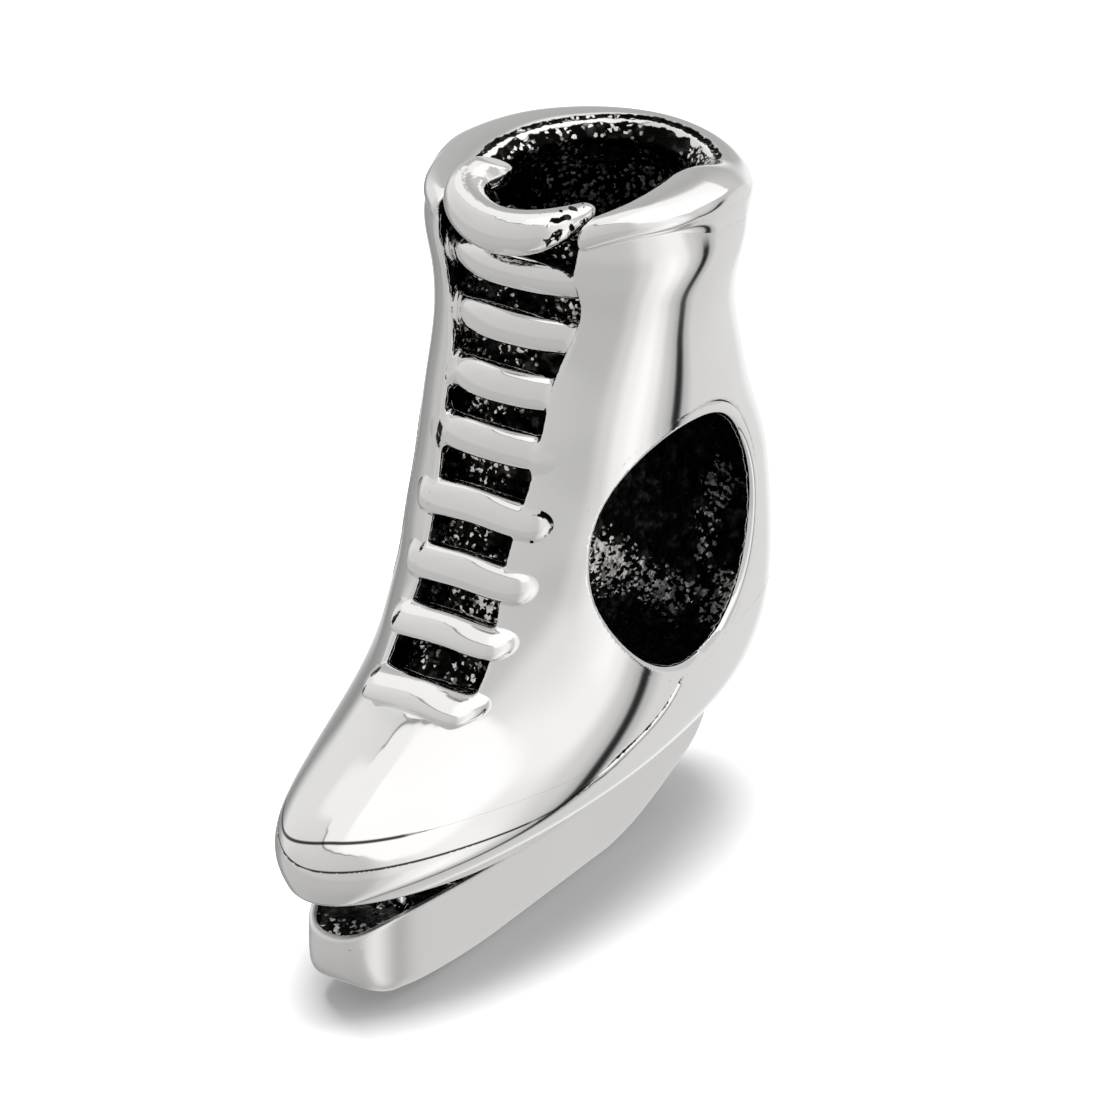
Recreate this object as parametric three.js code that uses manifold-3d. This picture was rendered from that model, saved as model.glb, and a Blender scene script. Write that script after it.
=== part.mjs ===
// Figure skate charm: a silver slide-on bracelet bead cast as one laced skating boot on a thick
// rocker blade. Units are millimetres, +Z is up, the toe points to -Y and the heel to +Y.
// The origin is the middle of the footprint, at the level the blade stands on.
import * as THREE from "three";
import { mergeVertices } from "three/addons/utils/BufferGeometryUtils.js";
import Module from "manifold-3d";

const wasm = await Module();
wasm.setup();

// ---- Driving dimensions ----
const seam = 0.02; // hairline left between neighbouring elements of the casting
const reach = 20; // longer than the charm, for cutters that pass right through
const slit = { front: -7.5, back: 7.5 }; // Y span of the cutters that follow the sole

const bore = { radius: 2.25, y: 1.72, z: 6.78, wall: 0.22, proud: 0.04 }; // a 4.5 mm core
const wall = 0.56; // thickness of the boot's wall round the open top
const cavityFloorZ = 9.9;
const collarZ = 12.4; // where the rolled collar starts

const tongue = { depth: 0.42, thick: 0.3, topZ: 12.75 }; // depth is below the boot's front
const laces = { halfHeight: 0.31, halfDepth: 0.2, proud: 0.06, facets: 8, steps: 8 };
const roll = { radius: 0.43, facets: 10, steps: 12 };

const blade = { halfWidth: 0.9, noseY: -5.82, tailY: 5.05, noseRadius: 0.95 };
const rocker = { radius: 16.2, landFrontY: -1.67, landBackY: 1.75, steps: 10 };
const tailCurve = [[2.4, 0.1], [3.3, 0.38], [4.2, 0.75], [4.75, 1.14], [5.05, 1.6]]; // [y, z]
const web = { halfWidth: 0.5, frontY: -2.8, backY: 4.7 };
const stanchion = { halfWidth: 0.66, frontY: -4.55, backY: -4.05 };

// ---- The last: level sections of the boot, from the heel's underside to the collar's top ----
// Each row is [z, front y, back y, half width, widest y, front squareness, rear squareness].
const lastSections = [
  [1.4, -5.0, 5.05, 0.95, 0.0, 2.0, 2.4],
  [1.95, -5.9, 5.6, 1.45, 0.0, 2.0, 2.3],
  [2.4, -6.27, 5.95, 1.95, 0.0, 2.0, 2.25],
  [3.0, -6.47, 6.18, 2.55, 0.05, 1.95, 2.25],
  [3.5, -6.25, 6.32, 2.68, 0.5, 1.75, 2.35],
  [4.1, -5.15, 6.4, 2.71, 1.1, 1.6, 2.4],
  [4.8, -3.8, 6.47, 2.7, 1.4, 1.6, 2.4],
  [5.5, -2.97, 6.46, 2.68, 1.5, 1.65, 2.4],
  [6.3, -2.2, 6.42, 2.65, 1.65, 1.8, 2.35],
  [7.2, -1.75, 6.25, 2.61, 1.8, 1.95, 2.3],
  [8.2, -1.3, 5.9, 2.55, 1.95, 2.05, 2.15],
  [9.4, -0.97, 5.45, 2.52, 2.1, 2.05, 2.05],
  [10.6, -0.6, 5.1, 2.53, 2.17, 2.0, 2.0],
  [11.5, -0.45, 4.95, 2.7, 2.2, 2.0, 2.0],
  [12.3, -0.5, 5.0, 2.83, 2.2, 2.0, 2.0],
  [13.0, -0.4, 4.9, 2.64, 2.2, 2.0, 2.0],
];
const lastSlices = 34;
const lastFacets = 44;

// ---- Solids ----
function solidOf(geometry) {
  const bare = geometry.clone();
  bare.deleteAttribute("normal");
  bare.deleteAttribute("uv");
  const merged = mergeVertices(bare, 1e-4);
  const corners = merged.index.array;
  const faces = [];
  for (let i = 0; i < corners.length; i += 3) {
    const [a, b, c] = corners.slice(i, i + 3);
    if (a !== b && b !== c && c !== a) faces.push(a, b, c);
  }
  return new wasm.Manifold(new wasm.Mesh({
    numProp: 3,
    vertProperties: Float32Array.from(merged.attributes.position.array),
    triVerts: Uint32Array.from(faces),
  }));
}

function geometryOf(solid) {
  const { vertProperties, triVerts } = solid.getMesh();
  const geometry = new THREE.BufferGeometry();
  geometry.setAttribute("position", new THREE.BufferAttribute(vertProperties, 3));
  geometry.setIndex(new THREE.BufferAttribute(triVerts, 1));
  geometry.computeVertexNormals();
  return geometry;
}

// A side outline of [y, z] corners, given a half width in x.
function sidePrism(outline, halfWidth) {
  const shape = new THREE.Shape(outline.map(([y, z]) => new THREE.Vector2(y, z)));
  const prism = new THREE.ExtrudeGeometry(shape, { depth: 2 * halfWidth, bevelEnabled: false });
  prism.translate(0, 0, -halfWidth);
  prism.applyMatrix4(new THREE.Matrix4().makeBasis(
    new THREE.Vector3(0, 1, 0), new THREE.Vector3(0, 0, 1), new THREE.Vector3(1, 0, 0)));
  return solidOf(prism);
}

// A block between two heights, wide enough to cut right across the charm.
function levelSlab(lowZ, highZ) {
  const slab = new THREE.BoxGeometry(reach, reach, highZ - lowZ);
  return solidOf(slab.translate(0, 0, (lowZ + highZ) / 2));
}

// A round bar that runs from side to side through the bore's centre line.
function crossCylinder(radius, length) {
  const cylinder = new THREE.CylinderGeometry(radius, radius, length, 48);
  return solidOf(cylinder.rotateZ(Math.PI / 2).translate(0, bore.y, bore.z));
}

// A closed oval strand that follows a path, its long side leaning back by a given angle.
function strand(path, halfHeight, halfDepth, lean, facets, steps) {
  const oval = new THREE.EllipseCurve(0, 0, halfHeight, halfDepth, 0, 2 * Math.PI, false, -lean);
  const shape = new THREE.Shape(oval.getPoints(facets).slice(0, facets));
  return solidOf(new THREE.ExtrudeGeometry(shape, { steps, extrudePath: path, curveSegments: 1 }));
}

// ---- The boot's surface ----
const lengthRail = new THREE.CatmullRomCurve3(
  lastSections.map(([z, front, back]) => new THREE.Vector3(front, back, z)));
const widthRail = new THREE.CatmullRomCurve3(
  lastSections.map((row) => new THREE.Vector3(row[3], row[4], row[5])));
const squareRail = new THREE.CatmullRomCurve3(
  lastSections.map((row) => new THREE.Vector3(row[5], row[6], row[0])));

function sectionAt(t) {
  const length = lengthRail.getPoint(t);
  const width = widthRail.getPoint(t);
  const square = squareRail.getPoint(t);
  return {
    z: length.z, front: length.x, back: length.y,
    halfWidth: width.x, wideY: width.y, frontPower: square.x, rearPower: square.y,
  };
}

function sectionAtHeight(z) {
  let low = 0;
  let high = 1;
  while (high - low > 1e-6) {
    const middle = (low + high) / 2;
    if (lengthRail.getPoint(middle).z < z) low = middle;
    else high = middle;
  }
  return sectionAt(low);
}

// A cylinder reshaped to the last, with every section drawn in by an inset.
function lastSolid(inset) {
  const form = new THREE.CylinderGeometry(1, 1, 1, lastFacets, lastSlices);
  const position = form.attributes.position;
  for (let i = 0; i < position.count; i += 1) {
    const [x, up, y] = [position.getX(i), position.getY(i), position.getZ(i)];
    const section = sectionAt(up + 0.5);
    const curl = 2 / (y < 0 ? section.frontPower : section.rearPower);
    const halfLength = y < 0 ? section.wideY - section.front : section.back - section.wideY;
    position.setXYZ(i,
      -Math.sign(x) * Math.abs(x) ** curl * (section.halfWidth - inset),
      section.wideY + Math.sign(y) * Math.abs(y) ** curl * (halfLength - inset),
      section.z);
  }
  return solidOf(form);
}

function frontY(x, z, inset) {
  const section = sectionAtHeight(z);
  const across = Math.abs(x) / (section.halfWidth - inset);
  const along = (1 - across ** section.frontPower) ** (1 / section.frontPower);
  return section.wideY - (section.wideY - section.front - inset) * along;
}

// How far the boot's front leans back from upright at a height.
function frontLean(z) {
  const rise = 0.2;
  return Math.atan2(frontY(0, z + rise, 0) - frontY(0, z - rise, 0), 2 * rise);
}

// ---- Seam lines seen from the side ----
function sideLine(points) {
  return new THREE.SplineCurve(points.map(([y, z]) => new THREE.Vector2(y, z)));
}

const weltLine = sideLine([[slit.front, 2.95], [-6.2, 3.0], [-4.85, 3.1], [-3.4, 3.15],
  [-2.2, 3.24], [-1.45, 3.38], [-0.55, 3.6], [0.3, 3.8], [0.95, 4.1], [1.35, 4.38], [2.0, 4.5],
  [slit.back, 4.5]]);
const soleLine = sideLine([[slit.front, 2.6], [-6.2, 2.5], [-4.6, 2.36], [-3.2, 2.02],
  [-1.8, 1.62], [0.1, 1.42], [2.3, 1.6], [4.1, 1.87], [slit.back, 1.9]]);
const bladeTop = sideLine([[blade.noseY, 1.6], [-5.2, 1.78], [-4.2, 1.76], [-2.9, 1.6],
  [-1.8, 1.48], [0.1, 1.34], [2.3, 1.52], [4.1, 1.8], [blade.tailY, 1.82]]);
const seamSteps = 20;

function above(line, lift) {
  const edge = line.getPoints(seamSteps).map((point) => [point.x, point.y + lift]);
  const [first, final] = [edge[0][0], edge.at(-1)[0]];
  return sidePrism([...edge, [final, reach], [first, reach]], reach / 2);
}

// ---- Upper: boot shell, collar, tongue and laces ----
const last = lastSolid(0);
const hollow = lastSolid(wall).intersect(levelSlab(cavityFloorZ, reach));
const sleeveHole = crossCylinder(bore.radius + bore.wall + seam, reach);

// The opening the laces cross, as [z, half width] up the boot's front.
const placketEdge = [[5.0, 0.9], [5.5, 0.95], [6.3, 0.85], [8.4, 0.9], [9.5, 1.0], [10.5, 1.08],
  [11.4, 1.38], [12.3, 1.5], [13.5, 1.56]];
const placketBackY = 1.2;

function placketPrism(trim) {
  const right = placketEdge.map(([z, x]) => new THREE.Vector2(x - trim, z + trim));
  const left = placketEdge.map(([z, x]) => new THREE.Vector2(trim - x, z + trim)).reverse();
  const depth = placketBackY - slit.front;
  const prism = new THREE.ExtrudeGeometry(new THREE.Shape([...right, ...left]),
    { depth, bevelEnabled: false });
  return solidOf(prism.rotateX(Math.PI / 2).translate(0, placketBackY, 0));
}

const placket = placketPrism(0).subtract(lastSolid(tongue.depth + tongue.thick + seam));

// One row a lace: [height, half length].
const laceRows = [[12.05, 1.75], [11.0, 1.5], [10.0, 1.35], [9.0, 1.3], [7.9, 1.35],
  [6.85, 1.33], [5.95, 1.25], [5.05, 1.2]];

function lace([z, halfLength], growth) {
  const lean = frontLean(z);
  const sink = laces.halfDepth - laces.proud;
  const points = [];
  for (let i = 0; i <= laces.steps; i += 1) {
    const x = (halfLength + growth) * (2 * i / laces.steps - 1);
    points.push(new THREE.Vector3(x, frontY(x, z, sink * Math.cos(lean)), z - sink * Math.sin(lean)));
  }
  const solid = strand(new THREE.CatmullRomCurve3(points), laces.halfHeight + growth,
    laces.halfDepth + growth, lean, laces.facets, laces.steps);
  return solid.subtract(sleeveHole);
}

const rollPath = new THREE.CatmullRomCurve3([[-1.2, 0.85, 13.3], [-1.08, 0.0, 13.15],
  [-0.6, -0.58, 13.05], [0, -0.74, 13.0], [0.6, -0.58, 13.05], [1.08, 0.0, 13.15],
  [1.2, 0.85, 13.3]].map(([x, y, z]) => new THREE.Vector3(x, y, z)));

function tongueRoll(growth) {
  const radius = roll.radius + growth;
  return strand(rollPath, radius, radius, 0, roll.facets, roll.steps);
}

let carved = last.subtract(hollow).subtract(placket).subtract(tongueRoll(seam));
for (const row of laceRows) carved = carved.subtract(lace(row, seam));

const shell = carved.intersect(above(weltLine, seam)).subtract(sleeveHole)
  .subtract(levelSlab(collarZ - seam, reach));
const collar = carved.intersect(levelSlab(collarZ, reach));

let tongueSheet = placketPrism(seam).intersect(lastSolid(tongue.depth))
  .subtract(lastSolid(tongue.depth + tongue.thick)).subtract(levelSlab(tongue.topZ, reach))
  .subtract(tongueRoll(seam)).subtract(sleeveHole);
for (const row of laceRows) tongueSheet = tongueSheet.subtract(lace(row, seam));

// ---- Bore sleeve: a short tube from side to side ----
const sleeve = lastSolid(-bore.proud).intersect(crossCylinder(bore.radius + bore.wall, reach))
  .subtract(crossCylinder(bore.radius, reach));

// ---- Underfoot: sole, web, stanchion and blade ----
const sole = last.intersect(above(soleLine, 0)).subtract(above(weltLine, -seam))
  .subtract(sleeveHole);

function rockerZ(y) {
  return Math.max(0, rocker.landFrontY - y) ** 2 / (2 * rocker.radius);
}

// The blade seen from the side: nose corner, rocker, flat, and the curve up to the heel.
function bladeOutline() {
  const cornerY = blade.noseY + blade.noseRadius;
  const corner = new THREE.EllipseCurve(cornerY, rockerZ(cornerY) + blade.noseRadius,
    blade.noseRadius, blade.noseRadius, Math.PI, 1.5 * Math.PI);
  const underside = [];
  for (let i = 1; i <= rocker.steps; i += 1) {
    const y = cornerY + ((rocker.landFrontY - cornerY) * i) / rocker.steps;
    underside.push([y, rockerZ(y)]);
  }
  const tail = new THREE.SplineCurve([[rocker.landBackY, 0], ...tailCurve]
    .map(([y, z]) => new THREE.Vector2(y, z)));
  const top = bladeTop.getPoints(seamSteps).map((point) => [point.x, point.y]).reverse();
  return [...corner.getPoints(6).map((point) => [point.x, point.y]), ...underside,
    ...tail.getPoints(rocker.steps).map((point) => [point.x, point.y]), ...top];
}

const bladeRadius = blade.halfWidth;
const bladePlan = new THREE.Shape()
  .absarc(0, blade.noseY + bladeRadius, bladeRadius, Math.PI, 2 * Math.PI)
  .lineTo(blade.halfWidth, blade.tailY)
  .lineTo(-blade.halfWidth, blade.tailY);
const bladeColumn = solidOf(new THREE.ExtrudeGeometry(bladePlan,
  { depth: 3, bevelEnabled: false, curveSegments: 10 }).translate(0, 0, -1));
const bladeSolid = sidePrism(bladeOutline(), blade.halfWidth + 1).intersect(bladeColumn);

// A post or web that fills the gap between the blade's top and the sole.
function bladePost({ halfWidth, frontY: front, backY: back }) {
  const post = sidePrism([[front, 1], [back, 1], [back, 3], [front, 3]], halfWidth);
  return post.intersect(above(bladeTop, seam)).subtract(above(soleLine, -seam));
}

// ---- The charm ----
const silver = () => new THREE.MeshStandardMaterial({
  color: 0xd9d7d3, roughness: 0.12, metalness: 1,
});
const blackened = () => new THREE.MeshStandardMaterial({
  color: 0x1a1918, roughness: 0.6, metalness: 0.6,
});

const charm = new THREE.Group();

function add(name, solid, material) {
  const mesh = new THREE.Mesh(geometryOf(solid), material);
  mesh.name = name;
  charm.add(mesh);
}

add("boot_shell", shell, silver());
add("collar_rim", collar, silver());
add("tongue_panel", tongueSheet, blackened());
add("tongue_roll", tongueRoll(0), silver());
laceRows.forEach((row, i) => add(`lace_bar_${i + 1}`, lace(row, 0), silver()));
add("bore_sleeve", sleeve, blackened());
add("sole_and_heel", sole, silver());
add("blade_web", bladePost(web), blackened());
add("front_stanchion", bladePost(stanchion), silver());
add("blade_runner", bladeSolid, silver());

export default charm;
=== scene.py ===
import math

import bpy
import numpy as np
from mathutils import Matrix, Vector


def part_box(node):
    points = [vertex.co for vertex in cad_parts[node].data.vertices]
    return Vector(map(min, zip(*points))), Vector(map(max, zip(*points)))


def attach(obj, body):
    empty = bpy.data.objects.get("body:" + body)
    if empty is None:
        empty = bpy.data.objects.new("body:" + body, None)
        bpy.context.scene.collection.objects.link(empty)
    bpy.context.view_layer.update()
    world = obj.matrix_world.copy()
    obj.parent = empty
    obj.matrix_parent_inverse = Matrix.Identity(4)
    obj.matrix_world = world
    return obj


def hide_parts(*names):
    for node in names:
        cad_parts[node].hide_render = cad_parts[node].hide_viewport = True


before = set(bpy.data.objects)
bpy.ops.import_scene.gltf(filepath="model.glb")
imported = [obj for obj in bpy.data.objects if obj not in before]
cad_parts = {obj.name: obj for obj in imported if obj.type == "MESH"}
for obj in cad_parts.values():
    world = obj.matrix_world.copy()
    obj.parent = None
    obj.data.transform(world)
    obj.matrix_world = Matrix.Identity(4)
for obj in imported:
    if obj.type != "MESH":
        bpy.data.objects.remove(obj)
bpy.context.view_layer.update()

mm = 0.001


# ---- Camera ----
# A long lens a hand's breadth away, raised a little and turned towards the toe, so that the
# laced front, the open collar and one mouth of the bore all show.
azimuth = math.radians(33.6)
elevation = math.radians(27.7)
stand_off = 150 * mm
towards_camera = Vector((math.sin(azimuth) * math.cos(elevation),
                         -math.cos(azimuth) * math.cos(elevation), math.sin(elevation)))
aim = Vector((0.48, 0.39, 6.57)) * mm
camera = bpy.data.objects.new("camera", bpy.data.cameras.new("camera"))
bpy.context.scene.collection.objects.link(camera)
camera.location = aim + towards_camera * stand_off
camera.rotation_euler = towards_camera.to_track_quat("Z", "Y").to_euler()
camera.data.lens = 281.3
camera.data.clip_start = 10 * mm
bpy.context.scene.camera = camera


# ---- Floor and light tent ----
# A white table inside a white light tent. The tent is bright overhead and a little greyer at the
# sides. A dark gap between two of its panels and the seam of its roof draw lines in the polish.
floor_mesh = bpy.data.meshes.new("floor")
floor_size = 2.0
corners = [(-floor_size, -floor_size, 0), (floor_size, -floor_size, 0),
           (floor_size, floor_size, 0), (-floor_size, floor_size, 0)]
floor_mesh.from_pydata(corners, [], [(0, 1, 2, 3)])
floor = bpy.data.objects.new("floor", floor_mesh)
bpy.context.scene.collection.objects.link(floor)
floor.visible_glossy = False
paper = bpy.data.materials.new("white_paper")
paper.use_nodes = True
paper_shader = paper.node_tree.nodes["Principled BSDF"]
paper_shader.inputs["Base Color"].default_value = (0.7, 0.7, 0.7, 1)
paper_shader.inputs["Roughness"].default_value = 0.9
paper_shader.inputs["Specular IOR Level"].default_value = 0.1
floor_mesh.materials.append(paper)


class NodeMaker:
    """Adds nodes to a tree, wires their inputs, and gives back the output asked for."""

    def __init__(self, tree):
        self.tree = tree

    def add(self, kind, output=0, settings=(), **inputs):
        node = self.tree.nodes.new(kind)
        for name, value in settings:
            setattr(node, name, value)
        for name, value in inputs.items():
            key = int(name[1:]) if name[0] == "i" and name[1:].isdigit() else name.replace("_", " ")
            self.feed(node.inputs[key], value)
        return node.outputs[output]

    def feed(self, socket, value):
        if isinstance(value, bpy.types.NodeSocket):
            self.tree.links.new(value, socket)
        else:
            socket.default_value = value

    def math(self, operation, a, b=0.0, c=0.0):
        return self.add("ShaderNodeMath", settings=[("operation", operation)], i0=a, i1=b, i2=c)

    def step(self, value, low, high):
        """Eases from 0 to 1 while value goes from low to high."""
        node = self.tree.nodes.new("ShaderNodeMapRange")
        node.interpolation_type = "SMOOTHSTEP"
        self.feed(node.inputs["Value"], value)
        self.feed(node.inputs["From Min"], low)
        self.feed(node.inputs["From Max"], high)
        return node.outputs["Result"]

    def mix(self, amount, a, b):
        node = self.tree.nodes.new("ShaderNodeMix")
        node.data_type = "RGBA"
        self.feed(node.inputs["Factor"], amount)
        self.feed(node.inputs["A"], a)
        self.feed(node.inputs["B"], b)
        return node.outputs["Result"]


def grey(value, warmth=0.0):
    return (value, value * (1 - warmth), value * (1 - 2 * warmth), 1)


tent = bpy.data.worlds.new("tent")
bpy.context.scene.world = tent
tent.use_nodes = True
tent.node_tree.nodes.clear()
make = NodeMaker(tent.node_tree)
direction = make.add("ShaderNodeTexCoord", "Generated")
split = make.add("ShaderNodeSeparateXYZ", "X", i0=direction)
x_way, y_way, z_way = (split.node.outputs[axis] for axis in "XYZ")
turn = make.math("ARCTAN2", y_way, x_way)
height = make.math("ARCSINE", z_way)


def ramp(value, stops):
    """A grey tone read off a smooth curve of (degrees, tone) points."""
    node = tent.node_tree.nodes.new("ShaderNodeValToRGB")
    node.color_ramp.interpolation = "EASE"
    make.feed(node.inputs["Fac"], value)
    elements = node.color_ramp.elements
    elements[0].position, elements[0].color = 0.0, grey(stops[0][1])
    elements[1].position, elements[1].color = 1.0, grey(stops[-1][1])
    for angle, tone in stops[1:-1]:
        elements.new((angle + 180) / 360).color = grey(tone)
    return node.outputs["Color"]


turn_share = make.math("MULTIPLY_ADD", turn, 0.5 / math.pi, 0.5)
skyline = ramp(turn_share, [
    (-180, 0.85), (-165, 0.885), (-90, 0.89), (-60, 0.87), (-42, 0.84), (-28, 0.80), (-14, 0.69),
    (0, 0.67), (16, 0.70), (40, 0.62), (80, 0.70), (110, 0.78), (136, 0.74), (150, 0.60),
    (162, 0.66), (180, 0.85)])
ceiling = ramp(turn_share, [(-180, 0.95), (-80, 0.95), (-45, 1.08), (60, 1.15), (120, 0.97),
                            (180, 0.95)])
over_skyline = make.math("SUBTRACT", make.math("MULTIPLY_ADD", height, 1 / math.pi, 0.5), skyline)
high_walls = ramp(turn_share, [
    (-180, 0.76), (-150, 0.70), (-90, 0.65), (-30, 0.62), (-14, 0.82), (2, 0.98), (11, 0.98),
    (20, 0.68), (30, 0.55), (60, 0.60), (95, 0.62), (118, 0.46), (138, 0.50), (155, 0.80),
    (180, 0.76)])
low_walls = ramp(turn_share, [
    (-180, 0.58), (-90, 0.55), (-30, 0.54), (-18, 0.70), (-7, 0.95), (4, 1.08), (12, 0.95),
    (22, 0.64), (29, 0.48), (31.5, 0.02), (35.5, 0.02), (38.5, 0.52), (47, 0.72), (92, 0.76),
    (106, 0.95), (118, 1.08), (133, 0.68), (144, 0.30), (160, 0.36), (180, 0.58)])
walls = make.mix(make.step(height, math.radians(-12), math.radians(2)), low_walls, high_walls)
sides = make.step(make.math("COSINE", make.math("ADD", turn, math.radians(105))), 0.09, 0.42)
fall = make.math("MULTIPLY", sides, make.step(height, math.radians(65), math.radians(5)))
walls = make.mix(make.math("MULTIPLY", fall, 0.25), walls, grey(0.45))
depth_fade = make.step(height, math.radians(-25), math.radians(-75))
walls = make.mix(make.math("MULTIPLY", depth_fade, 0.4), walls, grey(0.35))
tone = make.mix(make.step(over_skyline, -0.02, 0.03), walls, ceiling)
seam = make.step(make.math("ABSOLUTE", make.math("SUBTRACT", over_skyline, 0.004)), 0.010, 0.003)
tone = make.mix(make.math("MULTIPLY", make.math("MULTIPLY", seam, sides), 0.75), tone, grey(0.12))
background = tent.node_tree.nodes.new("ShaderNodeBackground")
make.feed(background.inputs["Color"], tone)
background.inputs["Strength"].default_value = 1.0
surface = tent.node_tree.nodes.new("ShaderNodeOutputWorld")
tent.node_tree.links.new(background.outputs[0], surface.inputs["Surface"])

lamp = bpy.data.objects.new("overhead_lamp", bpy.data.lights.new("overhead_lamp", "AREA"))
bpy.context.scene.collection.objects.link(lamp)
lamp.data.size = 110 * mm
lamp.data.energy = 0.5
lamp.location = Vector((-12, 8, 150)) * mm
lamp.rotation_euler = (lamp.location - Vector((0, 0, 5 * mm))).to_track_quat("Z", "Y").to_euler()
lamp.visible_glossy = False
bpy.context.scene.view_settings.view_transform = "Standard"


# ---- Boot shell ----
# The boot's upper: cast silver, hollow above the ankle, with a slot down its front where the
# laces cross and a hole through the ankle. Outside it is polished, inside it is left black.
# Sizes are in millimetres. Each of last_rows is
# [z, front y, back y, half width, widest y, front and rear squareness].
last_rows = np.array([
    [1.4, -5.0, 5.05, 0.95, 0.0, 2.0, 2.4],
    [1.95, -5.9, 5.6, 1.45, 0.0, 2.0, 2.3],
    [2.4, -6.27, 5.95, 1.95, 0.0, 2.0, 2.25],
    [3.0, -6.47, 6.18, 2.55, 0.05, 1.95, 2.25],
    [3.5, -6.25, 6.32, 2.68, 0.5, 1.75, 2.35],
    [4.1, -5.15, 6.4, 2.71, 1.1, 1.6, 2.4],
    [4.8, -3.8, 6.47, 2.7, 1.4, 1.6, 2.4],
    [5.5, -2.97, 6.46, 2.68, 1.5, 1.65, 2.4],
    [6.3, -2.2, 6.42, 2.65, 1.65, 1.8, 2.35],
    [7.2, -1.75, 6.25, 2.61, 1.8, 1.95, 2.3],
    [8.2, -1.3, 5.9, 2.55, 1.95, 2.05, 2.15],
    [9.4, -0.97, 5.45, 2.52, 2.1, 2.05, 2.05],
    [10.6, -0.6, 5.1, 2.53, 2.17, 2.0, 2.0],
    [11.5, -0.45, 4.95, 2.7, 2.2, 2.0, 2.0],
    [12.3, -0.5, 5.0, 2.83, 2.2, 2.0, 2.0],
    [13.0, -0.4, 4.9, 2.64, 2.2, 2.0, 2.0],
])
wall = 0.56
left_wall_extra = 0.38
cavity_floor = 9.9
shell_top = 12.66
cuff_height = 0.5
groove = 0.012
lap = 0.03
bore_lap = 0.04
edge_round = 0.12
fine_round = 0.008
cap_height = 3.64
welt_points = [(-7.5, 3.2), (-6.2, 3.22), (-4.85, 3.22), (-3.4, 3.2), (-2.2, 3.24),
               (-1.45, 3.38), (-0.55, 3.6), (0.3, 3.8), (0.95, 4.1), (1.35, 4.38), (2.0, 4.5),
               (7.5, 4.5)]
placket_points = [(5.0, 0.9), (5.5, 0.95), (6.3, 0.85), (8.4, 0.9), (9.5, 1.0), (10.5, 1.08),
                  (11.4, 1.34), (12.2, 1.42), (12.5, 1.45), (13.5, 1.45)]
placket_depth = 0.45
tongue_thickness = 0.45
slot_foot = 5.05
slot_back = 1.25
bore_radius, bore_y, bore_z = 2.25, 1.72, 6.78
sleeve_wall = 0.24


def curve_through(points):
    """A smooth curve y(x), or several at once, through rows of [x, y, ...]."""
    rows = np.array(points, float)
    x, y = rows[:, 0], rows[:, 1:]
    gaps = np.diff(x)
    count = len(x)
    matrix = np.eye(count)
    right = np.zeros_like(y)
    for i in range(1, count - 1):
        matrix[i, i - 1:i + 2] = gaps[i - 1], 2 * (gaps[i - 1] + gaps[i]), gaps[i]
        right[i] = 6 * ((y[i + 1] - y[i]) / gaps[i] - (y[i] - y[i - 1]) / gaps[i - 1])
    bend = np.linalg.solve(matrix, right)

    def at(value):
        value = np.clip(value, x[0], x[-1])
        i = np.clip(np.searchsorted(x, value) - 1, 0, count - 2)
        h = gaps[i][:, None]
        after = (value - x[i])[:, None]
        before = h - after
        result = (bend[i] * before ** 3 + bend[i + 1] * after ** 3) / (6 * h)
        result += (y[i] / h - bend[i] * h / 6) * before + (y[i + 1] / h - bend[i + 1] * h / 6) * after
        return result if y.shape[1] > 1 else result[:, 0]
    return at


def ease(t):
    """Goes smoothly from 0 to 1 while t does."""
    t = np.clip(t, 0, 1)
    return t * t * (3 - 2 * t)


def meet(a, b, soft):
    """The solid that two solids share, with the edge between them rounded."""
    blend = np.clip(soft - np.abs(a - b), 0, None)
    return np.maximum(a, b) + blend ** 2 / (4 * soft)


def join(a, b, soft):
    """Two solids run together with a fillet."""
    return -meet(-a, -b, soft)


last_curve = curve_through(last_rows)
welt_height = curve_through(welt_points)
placket_edge = curve_through(placket_points)


def last_share(p):
    """How far out a point lies at its own level: 1 is on the boot's skin."""
    front, back, half, widest, front_square, rear_square = last_curve(p[:, 2]).T
    ahead = p[:, 1] < widest
    along = np.abs(p[:, 1] - widest) / np.where(ahead, widest - front, back - widest)
    across = np.abs(p[:, 0]) / half
    square = 2 + (np.where(ahead, front_square, rear_square) - 2) * ease(along / 0.7)
    return (across ** square + along ** square) ** (1 / square)


def last_form(p):
    """Distance in millimetres from the boot's skin, negative inside."""
    share = last_share(p)
    nudge = 1e-4
    slope = [(last_share(p + nudge * axis) - share) / nudge for axis in np.eye(3)]
    return (share - 1) / np.sqrt(sum(s * s for s in slope) + 1e-9)


def bore_distance(p):
    return np.hypot(p[:, 1] - bore_y, p[:, 2] - bore_z)


def behind_bore(p):
    """0 round the front of the bore, 1 round its back."""
    return ease(((p[:, 1] - bore_y) / (bore_distance(p) + 1e-6) + 0.25) / 0.7)


def bore_ring(p):
    """Distance from the hole that the sleeve fills: a groove stays open round its back only."""
    behind = behind_bore(p)
    return bore_radius + sleeve_wall + groove * behind - bore_lap * (1 - behind) - bore_distance(p)


def bore_round(p):
    """How far the edges at the bore are rounded: more where the groove is open."""
    return fine_round + 0.055 * behind_bore(p)


def welt_open(y):
    """Where the welt is an open groove: from the instep back until it has passed under the bore."""
    return ease((y + 1.9) / 1.2) * (1 - ease((y - 1.2) / 0.9))


def welt_gap(y):
    """Half the groove's width; where it is closed the boot and the sole overlap."""
    return groove * welt_open(y) - lap * (1 - welt_open(y))


def slot_across(x, z):
    """Distance out from the slot, which leans to the left at the collar."""
    return np.abs(x + 0.14 * ease((z - 11.6) / 0.8)) - placket_edge(z)


def welt_round(y):
    """How far the edges of the welt's groove are rounded."""
    return fine_round + 0.09 * welt_open(y)


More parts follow.
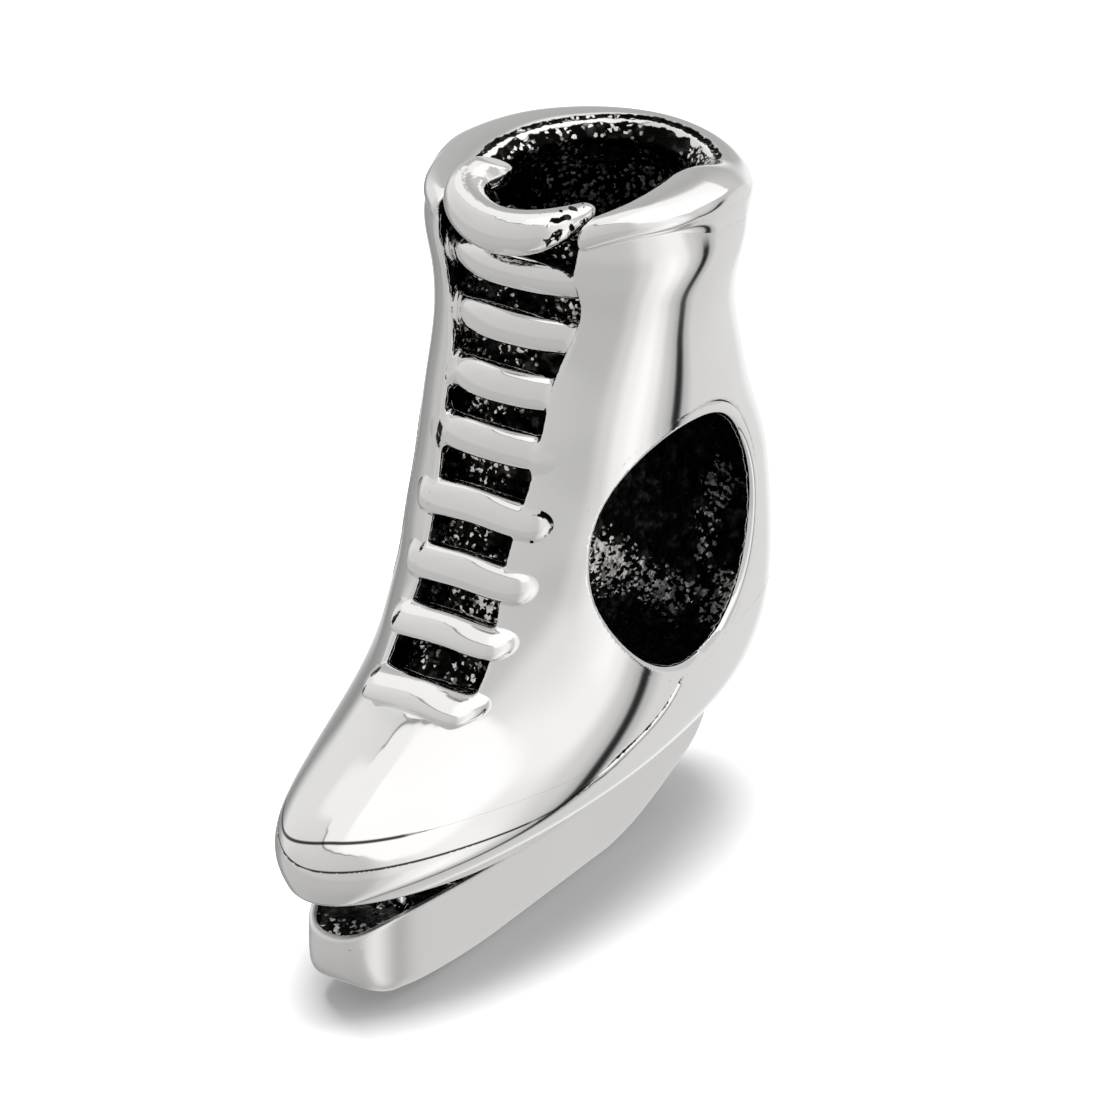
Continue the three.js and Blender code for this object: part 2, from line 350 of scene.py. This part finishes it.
def toe_lines(p):
    """Distance inside the two fine lines scribed round the toe: its cap's edge and the welt."""
    x, y, z = p.T
    fade = ease((x - 1.1) / 0.6) + 3 * ease((y + 4.8) / 0.5)
    below_cap = (cap_height - 0.25 * ease((0.3 - x) / 1.4) - z) * (0.7 + 4 * fade)
    above_welt = (z - welt_height(y) - 0.045) * (0.75 + 3 * ease((y + 1.6) / 0.8))
    return np.minimum(below_cap, above_welt)


def cavity(p, skin):
    """Distance from the hollow above the ankle: close to the left, far inside on the right."""
    thick = wall + left_wall_extra * ease((0.2 - p[:, 0]) / 2.2)
    right_side = p[:, 0] - 1.36 - 0.13 * p[:, 1]
    return meet(skin + thick, right_side, 0.45)


def cuff_rise(p):
    """How much taller the boot is towards the front of its right side."""
    return cuff_height * ease((p[:, 0] - 0.4) / 1.8) * (1 - ease((p[:, 1] - 2.2) / 1.9))


def boot_form(p):
    """The upper: the last cut off at the welt and the collar, less its hollow, slot and bore."""
    x, y, z = p.T
    skin = last_form(p)
    solid = meet(skin, welt_height(y) + welt_gap(y) - z, welt_round(y))
    solid = meet(solid, z - shell_top - cuff_rise(p), 0.06)
    hollow = np.maximum(cavity(p, skin), cavity_floor - z)
    solid = meet(solid, -hollow, edge_round)
    slot = np.maximum.reduce([slot_across(x, z), slot_foot - z, y - slot_back,
                              -(skin + placket_depth + tongue_thickness)])
    solid = meet(solid, -slot, edge_round)
    return meet(solid, bore_ring(p), bore_round(p))


def slope_of(form, p):
    """The direction in which a form's distance grows, at each point."""
    reach = 2e-3
    parts = [form(p + reach * axis) - form(p - reach * axis) for axis in np.eye(3)]
    return np.stack(parts, 1) / (2 * reach)


def settle(form, p, times):
    """Moves points straight onto a form's surface."""
    for _ in range(times):
        slope = slope_of(form, p)
        size = np.maximum((slope ** 2).sum(1), 0.05)
        move = np.clip(form(p) / size, -0.05, 0.05)
        p = p - move[:, None] * slope
    return p


def sampled(form, low, high, pitch):
    """A form's values on a grid, worked out finely only near its surface."""
    block = 4
    shape = (np.ceil((np.array(high) - low) / (pitch * block)).astype(int) + 1) * block
    starts = [low[i] + pitch * (block * np.arange(shape[i] // block) + 1.5) for i in range(3)]
    coarse = form(np.stack(np.meshgrid(*starts, indexing="ij"), -1).reshape(-1, 3))
    coarse = coarse.reshape(shape // block)
    fine = coarse.repeat(block, 0).repeat(block, 1).repeat(block, 2)
    near = np.argwhere(np.abs(fine) < 6 * pitch)
    fine[tuple(near.T)] = form(low + pitch * near)
    return fine


def skin_mesh(form, low, high, pitch):
    """Points and four-sided faces over a form's surface: one point a crossed cell."""
    low = np.array(low, float)
    grid = sampled(form, low, high, pitch)
    inside = grid < 0
    cell = np.array(grid.shape) - 1
    offsets = np.array([[a, b, c] for a in (0, 1) for b in (0, 1) for c in (0, 1)])

    def corner(a, offset):
        return a[offset[0]:offset[0] + cell[0], offset[1]:offset[1] + cell[1],
                 offset[2]:offset[2] + cell[2]]
    filled = sum(corner(inside, offset).astype(np.int8) for offset in offsets)
    crossed = np.argwhere((filled > 0) & (filled < 8))
    total = np.zeros((len(crossed), 3))
    hits = np.zeros(len(crossed))
    for a in range(8):
        for axis in range(3):
            if offsets[a][axis]:
                continue
            start = crossed + offsets[a]
            end = start + np.eye(3, dtype=int)[axis]
            from_value, to_value = grid[tuple(start.T)], grid[tuple(end.T)]
            cut = (from_value < 0) != (to_value < 0)
            share = np.where(cut, from_value / np.where(cut, from_value - to_value, 1), 0)
            total += np.where(cut[:, None], start + share[:, None] * (end - start), 0)
            hits += cut
    number = np.full(cell, -1, np.int32)
    number[tuple(crossed.T)] = np.arange(len(crossed))
    faces = []
    for axis in range(3):
        step = np.eye(3, dtype=int)[axis]
        side, other = np.eye(3, dtype=int)[(axis + 1) % 3], np.eye(3, dtype=int)[(axis + 2) % 3]
        here = inside[tuple(slice(0, n - s) for n, s in zip(grid.shape, step))]
        there = inside[tuple(slice(s, None) for s in step)]
        for leaving in (True, False):
            edge = np.argwhere((here & ~there) if leaving else (~here & there))
            edge = edge[((edge > 0) & (edge < cell)).all(1) | (
                (edge[:, (axis + 1) % 3] > 0) & (edge[:, (axis + 2) % 3] > 0)
                & (edge < cell).all(1))]
            ring = [edge - side - other, edge - other, edge, edge - side]
            quad = np.stack([number[tuple(r.T)] for r in ring], 1)
            faces.append(quad if leaving else quad[:, ::-1])
    faces = np.concatenate(faces)
    return low + pitch * total / hits[:, None], faces[(faces >= 0).all(1)]


def evened(form, points, faces, rounds):
    """Spreads the points evenly along the surface and keeps them on it."""
    edges = np.concatenate([faces[:, [i, (i + 1) % 4]] for i in range(4)])
    for _ in range(rounds):
        count = np.bincount(edges[:, 0], minlength=len(points))
        mean = np.stack([np.bincount(edges[:, 0], points[edges[:, 1], i], len(points))
                         for i in range(3)], 1) / np.maximum(count, 1)[:, None]
        pull = mean - points
        slope = slope_of(form, points)
        normal = slope / np.maximum(np.linalg.norm(slope, axis=1), 1e-6)[:, None]
        pull -= (pull * normal).sum(1)[:, None] * normal
        points = settle(form, points + 0.6 * pull, 1)
    return points


rng = np.random.default_rng(7)
wave_count = 28
wave_ways = rng.normal(size=(wave_count, 3))
wave_ways /= np.linalg.norm(wave_ways, axis=1)[:, None]
wave_ways *= rng.uniform(0.6, 1.5, (wave_count, 1))
wave_starts = rng.uniform(0, 2 * math.pi, wave_count)


def grain(p, size):
    """Smooth bumps about as wide as size, between roughly -1 and 1."""
    return np.sin(p @ wave_ways.T * (2 * math.pi / size) + wave_starts).sum(1) / 5.3


def flush_skin(p):
    """1 where the castings run flush: round the front of the bore, and at the closed welt."""
    on_skin = np.abs(last_form(p)) < 0.07
    at_bore = np.abs(bore_distance(p) - bore_radius - sleeve_wall) < 0.14
    at_welt = (np.abs(p[:, 2] - welt_height(p[:, 1])) < 0.14) * (1 - welt_open(p[:, 1]))
    return on_skin * np.maximum(at_bore * (1 - behind_bore(p)), at_welt)


def cast(name, form, low, high, pitch, recess, material, lumps=0.0, wear_and_highlight=None, scribe_and_shade=None,
         flush=None):
    """Makes one cast piece, with how deep each point lies below the polish, how much of its
    tarnish has worn off (on the bore sleeve, how much painted highlight it carries), how far it
    is from a fine dark line on it (scribed at the toe, painted shade along the sole's lower
    edge), and where it is shaded as one with the boot's skin."""
    pitch = pitch * 1
    points, faces = skin_mesh(form, low, high, pitch)
    points = settle(form, points, 2)
    points = evened(form, points, faces, 2)
    points = settle(form, points, 1)
    depth = recess(points)
    normals = slope_of(form, points)
    normals /= np.maximum(np.linalg.norm(normals, axis=1), 1e-6)[:, None]
    if flush:
        share = flush(points)[:, None]
        normals = normals * (1 - share) + slope_of(last_form, points) * share
    if lumps:
        rough = ease(depth / 0.05) * (grain(points, 0.4) + 0.6 * grain(points, 0.19))
        points = points - normals * (lumps * rough)[:, None]
    mesh = bpy.data.meshes.new(name)
    mesh.from_pydata((points * mm).tolist(), [], faces.tolist())
    mesh.polygons.foreach_set("use_smooth", [True] * len(mesh.polygons))
    wear_and_highlight_values = wear_and_highlight(points) if wear_and_highlight else np.zeros(len(points))
    line = scribe_and_shade(points) if scribe_and_shade else np.ones(len(points))
    for label, values in (("recess", depth), ("wear_and_highlight", wear_and_highlight_values), ("scribe_and_shade", line)):
        attribute = mesh.attributes.new(label, "FLOAT", "POINT")
        attribute.data.foreach_set("value", values.astype(np.float32))
    if not lumps:
        mesh.normals_split_custom_set_from_vertices(normals.tolist())
    mesh.materials.append(material)
    piece = bpy.data.objects.new(name, mesh)
    bpy.context.scene.collection.objects.link(piece)
    return piece


def cast_finish():
    """The finish of the casting: a polish, and rough black oxide where the recess is above 0."""
    group = bpy.data.node_groups.new("cast_finish", "ShaderNodeTree")
    for label in ("Ragged Edge", "Polish"):
        group.interface.new_socket(label, in_out="INPUT", socket_type="NodeSocketFloat")
    group.interface.new_socket("Color", in_out="OUTPUT", socket_type="NodeSocketColor")
    for label in ("Roughness", "Height"):
        group.interface.new_socket(label, in_out="OUTPUT", socket_type="NodeSocketFloat")
    given = group.nodes.new("NodeGroupInput").outputs
    result = group.nodes.new("NodeGroupOutput").inputs
    maker = NodeMaker(group)
    place = maker.add("ShaderNodeTexCoord", "Object")
    recess, wear_and_highlight, scribe_and_shade = (
        maker.add("ShaderNodeAttribute", "Fac", settings=[("attribute_name", label)])
        for label in ("recess", "wear_and_highlight", "scribe_and_shade"))

    crumbs = maker.add("ShaderNodeTexNoise", "Fac", Vector=place, Scale=7000.0, Detail=3.0)
    shift = maker.math("MULTIPLY", maker.math("SUBTRACT", crumbs, 0.5), given["Ragged Edge"])
    tarnish = maker.step(maker.math("ADD", recess, shift), -0.008, 0.008)

    crystals = maker.add("ShaderNodeTexVoronoi", "Color", Vector=place, Scale=16000.0)
    facet = maker.add("ShaderNodeSeparateXYZ", "X", i0=crystals)
    drifts = maker.add("ShaderNodeTexNoise", "Fac", Vector=place, Scale=1100.0, Detail=1.0)
    # Bright silver flecks where the tarnish is rubbed off; along the bore sleeve these flecks are
    # painted highlight.
    rubbed_and_highlit = maker.math("ADD", drifts, maker.math("MULTIPLY_ADD", facet, 0.8, wear_and_highlight))
    spark = maker.step(rubbed_and_highlit, 1.20, 1.28)
    haze = maker.add("ShaderNodeTexNoise", "Fac", Vector=place, Scale=4500.0, Detail=4.0)
    oxide = maker.mix(maker.step(haze, 0.5, 0.75), grey(0.004, 0.08), grey(0.05, 0.05))
    black = maker.mix(spark, oxide, grey(0.9, 0.03))

    cloud = maker.add("ShaderNodeTexNoise", "Fac", Vector=place, Scale=500.0, Detail=2.0)
    bright = maker.mix(cloud, grey(0.94, 0.008), grey(0.88, 0.014))
    # Fine dark lines: scribed lines at the toe, and a line of painted shade just above the sole's
    # lower edge.
    line = maker.step(maker.math("ABSOLUTE", scribe_and_shade), 0.02, 0.006)
    line = maker.math("MULTIPLY", line, maker.step(drifts, 0.25, 0.42))
    bright = maker.mix(line, bright, grey(0.05, 0.05))
    maker.feed(result["Color"], maker.mix(tarnish, bright, black))

    hair = maker.add("ShaderNodeTexNoise", "Fac", Vector=place, Scale=30000.0, Detail=2.0)
    smooth = maker.math("MULTIPLY_ADD", hair, 0.04, given["Polish"])
    rougher = maker.math("SUBTRACT", maker.math("MULTIPLY_ADD", haze, 0.3, 0.15), smooth)
    maker.feed(result["Roughness"], maker.math("MULTIPLY_ADD", tarnish, rougher, smooth))
    heights = maker.math("ADD", maker.math("MULTIPLY", facet, 0.6), haze)
    maker.feed(result["Height"], maker.math("MULTIPLY", heights, tarnish))
    return group


finish = cast_finish()


def silver(name, polish=0.05):
    """Sterling silver with the casting's finish, polished to the given roughness."""
    material = bpy.data.materials.new(name)
    material.use_nodes = True
    shader = material.node_tree.nodes["Principled BSDF"]
    maker = NodeMaker(material.node_tree)
    colour = maker.add("ShaderNodeGroup", "Color", settings=[("node_tree", finish)],
                       Ragged_Edge=0.1, Polish=polish)
    maker.feed(shader.inputs["Base Color"], colour)
    maker.feed(shader.inputs["Roughness"], colour.node.outputs["Roughness"])
    shader.inputs["Metallic"].default_value = 1.0
    bump = maker.add("ShaderNodeBump", Strength=1.0, Distance=0.05 * mm,
                     Height=colour.node.outputs["Height"])
    maker.feed(shader.inputs["Normal"], bump)
    return material


def shell_recess(p):
    """The upper is tarnished wherever it lies more than a tenth of a millimetre under its skin."""
    return np.minimum(-last_form(p) - 0.10, 5.0)


def shell_wear(p):
    """The tarnish is worn most on the hollow's back wall."""
    return 0.22 * ease((p[:, 1] - 2.6) / 1.4) - 0.12


polished_silver = silver("polished_silver")
boot_shell = cast("boot_shell", boot_form, (-3.0, -6.8, 2.7), (3.0, 6.7, 13.4), 0.06,
                  shell_recess, polished_silver, wear_and_highlight=shell_wear, scribe_and_shade=toe_lines, flush=flush_skin)
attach(boot_shell, "root")
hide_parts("boot_shell")


# ---- Collar rim ----
# The rolled edge of the boot's opening, cast in one with the wall. It stands out as a roll with a
# crease under it at the front, and runs smoothly into the wall at the back. A fine line is scribed
# along its top.
rim_radius = 0.3
rim_z = 12.68
rim_level = 12.62
rim_line_in = 0.17
rim_line_radius = 0.03


def level_skin(p):
    """Distance from the boot's skin, measured level at the collar."""
    return last_form(np.column_stack([p[:, 0], p[:, 1], np.minimum(p[:, 2], rim_level)]))


def across_wall(p):
    """How far out of the middle of the wall a point lies, and how thick the wall is there."""
    skin = level_skin(p)
    inner = cavity(p, skin)
    return (inner + skin) / 2, np.maximum(inner - skin, 0.3)


def rim_height(y):
    """The middle of the roll, which climbs a little towards the back."""
    return rim_z + 0.14 * ease((y - 1.0) / 3.0)


def rim_roll(p):
    """Distance from the roll, an oval as wide as the wall is thick."""
    out, thick = across_wall(p)
    half = thick / 2 + 0.04
    middle = rim_height(p[:, 1]) + cuff_rise(p) * (1 - 0.16 * out)
    return np.hypot((out - 0.01) * rim_radius / half, p[:, 2] - middle) - rim_radius


def rim_line(p):
    """Distance from the line scribed along the top of the rim, outside its inner bevel."""
    out, thick = across_wall(p)
    beyond = 5 * ease((p[:, 0] - 0.4) / 0.8) * ease((3.2 - p[:, 1]) / 0.8)
    return np.hypot(out + thick / 2 - rim_line_in, p[:, 2] - rim_height(p[:, 1]) - 0.27) + beyond


def rim_form(p):
    """The roll, open at the slot, run into the upper and cut with its line."""
    x, y, z = p.T
    whole_roll = rim_roll(p)
    notch = np.maximum(slot_across(x, z), y - slot_back)
    roll = meet(whole_roll, -notch, 0.2)
    fillet = 0.03 + 0.5 * ease((y - 0.9) / 1.8)
    merged = join(roll, boot_form(p) + 0.006, fillet)
    merged = np.maximum(merged, whole_roll - 0.36)
    return meet(merged, rim_line_radius - rim_line(p), 0.02)


def rim_recess(p):
    """Tarnished down the inside of the opening and in the scribed line."""
    out, thick = across_wall(p)
    inside = -out - thick / 2 + 0.03 + 0.02 * grain(p, 0.3)
    return np.maximum(inside, 2 * rim_line_radius - rim_line(p))


collar_rim = cast("collar_rim", rim_form, (-3.1, -1.0, 11.8), (3.1, 5.4, 13.8), 0.035, rim_recess,
                  polished_silver)
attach(collar_rim, "root")
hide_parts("collar_rim")


# ---- Tongue ----
# The tongue behind the laces: a thick strip left rough from the mould and blackened, so that the
# lace bars stand out against it.
tongue_top = 12.95
tongue_foot = 4.95
tongue_tuck = 0.12


def tongue_form(p):
    x, y, z = p.T
    sheet = np.abs(last_form(p) + placket_depth + tongue_thickness / 2) - tongue_thickness / 2
    return np.maximum.reduce([sheet, slot_across(x, z) - tongue_tuck, z - tongue_top, tongue_foot - z,
                              y - slot_back + 0.05])


def all_black(p):
    return np.full(len(p), 0.2)


def tongue_wear(p):
    return 0.07 * grain(p, 1.1) + 0.04


blackened_silver = silver("blackened_silver")
tongue_panel = cast("tongue_panel", tongue_form, (-1.9, -4.2, 4.7), (1.9, 1.5, 13.1), 0.045, all_black,
                    blackened_silver, lumps=0.035, wear_and_highlight=tongue_wear)
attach(tongue_panel, "root")
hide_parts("tongue_panel")


# ---- Tongue roll ----
# The top of the tongue, rolled over into a thick crescent between the collar's two ends. Its left
# end stands up and is cut flat; its right end thins out to a lip.
# Each row is [share of the way, x, y, z, radius].
roll_path = curve_through([
    (0.0, -0.86, 0.66, 13.42, 0.33), (0.14, -1.06, 0.32, 13.3, 0.36), (0.3, -0.86, -0.18, 13.16, 0.39),
    (0.5, -0.1, -0.56, 13.04, 0.41), (0.7, 0.6, -0.36, 13.05, 0.38), (0.86, 0.98, 0.08, 13.14, 0.29),
    (1.0, 1.15, 0.5, 13.24, 0.17)])
roll_beads = roll_path(np.linspace(0, 1, 90))
cut_point = np.array([-0.88, 0.62, 13.62])
cut_facing = np.array([0.12, 0.35, 0.93])
roll_black_x = 0.95
roll_black_z = 12.68


def roll_form(p):
    """A row of overlapping balls along the path, cut flat at the left end."""
    result = np.full(len(p), 9.0)
    for bead in roll_beads:
        result = np.minimum(result, np.linalg.norm(p - bead[:3], axis=1) - bead[3])
    return meet(result, (p - cut_point) @ cut_facing, 0.05)


def roll_recess(p):
    """Flecked with black at its right tip, and black underneath."""
    flecks = np.where(p[:, 0] > roll_black_x, 0.06 * grain(p, 0.2) - 0.03, -0.2)
    return flecks + np.where(p[:, 2] < roll_black_z, 0.2, 0.0)


tongue_roll = cast("tongue_roll", roll_form, (-1.9, -1.4, 12.2), (1.8, 1.4, 14.0), 0.04, roll_recess,
                   polished_silver)
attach(tongue_roll, "root")
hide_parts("tongue_roll")


# ---- Lace bars ----
# Eight raised bars across the slot. The upper four run flush into the boot's sides; the lower four
# stand proud and end in rounded tips. All are cast with soft fillets to the boot.
# Each row is [height, half length, how far it stands out in its middle and at its tips].
lace_rows = [(12.05, 1.75, 0.04, -0.25), (11.0, 1.6, 0.05, -0.2), (10.0, 1.45, 0.06, -0.15),
             (9.0, 1.42, 0.06, -0.06), (7.9, 1.42, 0.06, 0.12), (6.85, 1.36, 0.06, 0.16),
             (5.95, 1.27, 0.06, 0.20), (5.05, 1.2, 0.05, 0.24)]
creased_row = 5
lace_half_height = 0.32
lace_half_depth = 0.24
lace_arch = 0.16


def lace_parts(z_middle, half_length, middle_proud, tip_proud, creased):
    """One bar's form and recess. A creased bar has a black line round its tips."""
    rows = last_curve(np.array([z_middle - 0.2, z_middle + 0.2]))
    lean = math.atan2(rows[1, 0] - rows[0, 0], 0.4)
    fillet = 0.06 if tip_proud > 0 else 0.16

    def bar_form(p):
        """Distance from the bare bar, and from its middle line, and from the boot's skin."""
        skin = last_form(p)
        beyond = np.clip(np.abs(p[:, 0]) - (half_length - lace_half_height), 0, None)
        arch = lace_arch * (1 - ease(np.abs(p[:, 0]) / 1.5))
        across = np.hypot((p[:, 2] - z_middle - arch + 0.3 * lace_arch) / math.cos(lean), beyond)
        proud = middle_proud + (tip_proud - middle_proud) * ease(np.abs(p[:, 0]) / half_length)
        sink = lace_half_depth - proud
        bar = np.hypot(across / lace_half_height, (skin + sink) / lace_half_depth) - 1
        return bar * lace_half_depth, across, skin

    def form(p):
        bar, across, skin = bar_form(p)
        merged = join(bar, boot_form(p) + 0.008, fillet)
        reach = np.maximum(across - lace_half_height - 0.22, np.abs(skin + 0.15) - 0.42)
        return np.maximum(merged, np.maximum(reach, p[:, 1] - 1.1))

    def recess(p):
        bar, _, skin = bar_form(p)
        outside = slot_across(p[:, 0], p[:, 2])
        left_seam = 0.02 + 0.03 * grain(p, 0.35) - np.hypot(outside - 0.05, 0.02)
        deepest = np.maximum(-skin - 0.24, np.where(p[:, 0] > 0, -5.0, left_seam))
        if creased:
            crease = 0.03 + 0.03 * grain(p, 0.5) - np.hypot(bar, skin)
            deepest = np.maximum(deepest, np.where(outside < 0.3, -5.0, crease))
        return np.maximum(deepest, -1.0)
    return form, recess


for i, row in enumerate(lace_rows, 1):
    node = f"lace_bar_{i}"
    low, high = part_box(node)
    room = Vector((0.5, 0.6, 0.5))
    form, recess = lace_parts(*row, i == creased_row)
    bar = cast(node, form, low / mm - room, high / mm + room, 0.036, recess, polished_silver)
    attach(bar, "root")
    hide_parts(node)


# ---- Bore sleeve ----
# The tube that the bracelet runs through, let into the casting. Its wall is black and grainy. Its
# lips are bevelled bright, flush with the boot at the front and a little proud at the back.
# The band and branch set below are painted highlight: bright flecks laid low along the bore wall and
# near its right mouth, where its highlight falls.
lip_bevel = 0.16
highlight_band_angle = -55
highlight_band_half_angle = 15
highlight_branch_x = 1.65
highlight_branch_half = 0.3


def sleeve_form(p):
    out = bore_distance(p) - bore_radius
    behind = behind_bore(p)
    proud = 0.035 * behind + 0.012 * (1 - behind)
    solid = meet(out - sleeve_wall, last_form(p) - proud, fine_round + 0.05 * behind)
    return meet(solid, -out, lip_bevel)


def sleeve_recess(p):
    """Black along the inside, bright on the lips and outside."""
    return np.where(bore_distance(p) < bore_radius + 0.15, -last_form(p) - 0.11, -0.2)


def sleeve_highlight_flecks(p):
    """Painted highlight: a grainy band of bright flecks low along the bore, and another round it near
    its right mouth, where the bore wall's highlight falls.
    """
    angle = np.degrees(np.arctan2(p[:, 2] - bore_z, p[:, 1] - bore_y))
    band = np.exp(-((angle - highlight_band_angle) / highlight_band_half_angle) ** 2)
    mouth = np.exp(-((p[:, 0] - highlight_branch_x) / highlight_branch_half) ** 2)
    mouth *= ease((angle + 60) / 20) * ease((40 - angle) / 40)
    return 0.62 * np.maximum(band, 0.75 * mouth) - 0.26


bore_sleeve = cast("bore_sleeve", sleeve_form, (-3.0, -1.1, 4.0), (3.0, 4.6, 9.6), 0.05,
                   sleeve_recess, blackened_silver, wear_and_highlight=sleeve_highlight_flecks, flush=flush_skin)
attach(bore_sleeve, "root")
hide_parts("bore_sleeve")


# ---- Sole and heel ----
# The sole below the welt line, thin at the toe and deepening to the heel, rounded under. It is
# cast in one with the upper: a groove parts them under the bore, and a scribed line at the toe.
sole_height = curve_through([(-7.5, 2.6), (-6.2, 2.5), (-4.6, 2.36), (-3.2, 2.02), (-1.8, 1.62),
                             (0.1, 1.42), (2.3, 1.6), (4.1, 1.87), (7.5, 1.9)])


def sole_form(p):
    y, z = p[:, 1], p[:, 2]
    solid = meet(last_form(p), z - welt_height(y) + welt_gap(y), welt_round(y))
    solid = meet(solid, sole_height(y) - z, edge_round)
    return meet(solid, bore_ring(p), bore_round(p))


def sole_recess(p):
    """Black inside the welt's groove."""
    return np.where(p[:, 2] > sole_height(p[:, 1]) + 0.4, -last_form(p) - 0.05, -0.2)


def sole_edge_shade_line(p):
    """Distance from a dark line of painted shade just above the sole's lower edge, along the middle of
    the boot, where the sole turns under towards the blade.
    """
    fade = ease((-0.6 - p[:, 1]) / 1.5) + ease((p[:, 1] - 3.2) / 0.8)
    return (p[:, 2] - sole_height(p[:, 1]) - 0.09) * (0.45 + 3 * fade)


sole_and_heel = cast("sole_and_heel", sole_form, (-3.0, -6.8, 1.2), (3.0, 6.7, 4.8), 0.055,
                     sole_recess, polished_silver, scribe_and_shade=sole_edge_shade_line, flush=flush_skin)
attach(sole_and_heel, "root")
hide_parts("sole_and_heel")


# ---- Blade ----
# A thick blade with a rockered underside and a rounded nose. Its top is dished and black inside a
# thin bright edge; a web and a short post near the toe join it to the sole.
blade_half = 0.9
nose_y = -5.82
nose_radius = 1.15
nose_length = 1.7
blade_top = curve_through([(-5.82, 1.6), (-5.2, 1.78), (-4.2, 1.76), (-2.9, 1.6), (-1.8, 1.48),
                           (0.1, 1.34), (2.3, 1.52), (4.1, 1.8), (5.05, 1.82)])
tail_rise = curve_through([(1.75, 0.0), (2.4, 0.1), (3.3, 0.38), (4.2, 0.75), (4.75, 1.14),
                           (5.05, 1.6)])
land_front, land_back = -1.67, 1.75
rocker_radius = 16.2
tail_y = 5.05
dish_edge = 0.13
dish_depth = 0.14


def rocker(y):
    """The height of the blade's underside: a flat, a long arc to the nose and a curve to the tail."""
    front = np.clip(land_front - y, 0, None) ** 2 / (2 * rocker_radius)
    steep = np.clip(y - tail_y, 0, None) * 1.6
    return front + np.where(y > land_back, np.maximum(tail_rise(y), 0) + steep, 0.0)


def blade_plan(p):
    """Distance from the blade's outline seen from above: straight sides and an oval nose."""
    along = np.clip((nose_y + nose_length - p[:, 1]) / nose_length, 0, None)
    across = np.abs(p[:, 0]) / blade_half
    share = (along ** 2.4 + across ** 2.4) ** (1 / 2.4)
    return (share - 1) * (blade_half + (nose_length - blade_half) * ease(along - 0.3))


def blade_form(p):
    y, z = p[:, 1], p[:, 2]
    corner_y = nose_y + nose_radius
    corner_z = float(rocker(np.array([corner_y]))[0]) + nose_radius
    toe = np.hypot(y - corner_y, z - corner_z) - nose_radius
    under = np.where((y < corner_y) & (z < corner_z), toe, rocker(y) - z)
    plan = blade_plan(p)
    solid = meet(plan, under, 0.3)
    solid = meet(solid, z - blade_top(y), fine_round + 0.05 * (1 - ease((y - 3.4) / 0.8)))
    dish = np.maximum(plan + dish_edge, blade_top(y) - dish_depth - z)
    return meet(solid, -dish, 0.06)


def blade_recess(p):
    """Black inside the dished top."""
    depth = np.minimum(blade_top(p[:, 1]) - p[:, 2], -blade_plan(p) - 0.05)
    return np.where(p[:, 2] > blade_top(p[:, 1]) - 0.3, depth - 0.05, -0.2)


satin_silver = silver("satin_silver", polish=0.32)
blade_runner = cast("blade_runner", blade_form, (-1.1, -6.1, -0.2), (1.1, 5.4, 2.1), 0.045,
                    blade_recess, satin_silver)
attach(blade_runner, "root")
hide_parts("blade_runner")


# ---- Blade web ----
# The web that holds the blade under the sole: silver cast in one with both, narrower than they
# are, and left black in the gap between them.
def post_form(half_width, front_y, back_y, soft):
    """An upright block from the dish of the blade up into the sole."""
    def form(p):
        x, y, z = p.T
        along = np.abs(y - (front_y + back_y) / 2) - (back_y - front_y) / 2
        sides = meet(np.abs(x) - half_width, along, soft)
        return np.maximum(sides, np.maximum(blade_top(y) - 0.18 - z, z - sole_height(y) - 0.15))
    return form


blade_web = cast("blade_web", post_form(0.5, -2.8, 4.7, 0.1), (-0.8, -3.1, 1.0), (0.8, 5.0, 2.8),
                 0.05, all_black, blackened_silver)
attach(blade_web, "root")
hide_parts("blade_web")


# ---- Front stanchion ----
# A short rough post between the sole and the blade near the toe, cast in one with them. It is
# bright where it has been rubbed, and flecked with black.
def post_recess(p):
    return 0.06 * grain(p, 0.25)


front_stanchion = cast("front_stanchion", post_form(0.66, -4.55, -4.05, 0.15), (-0.9, -4.9, 1.3),
                       (0.9, -3.7, 2.9), 0.035, post_recess, polished_silver, lumps=0.05)
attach(front_stanchion, "root")
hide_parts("front_stanchion")
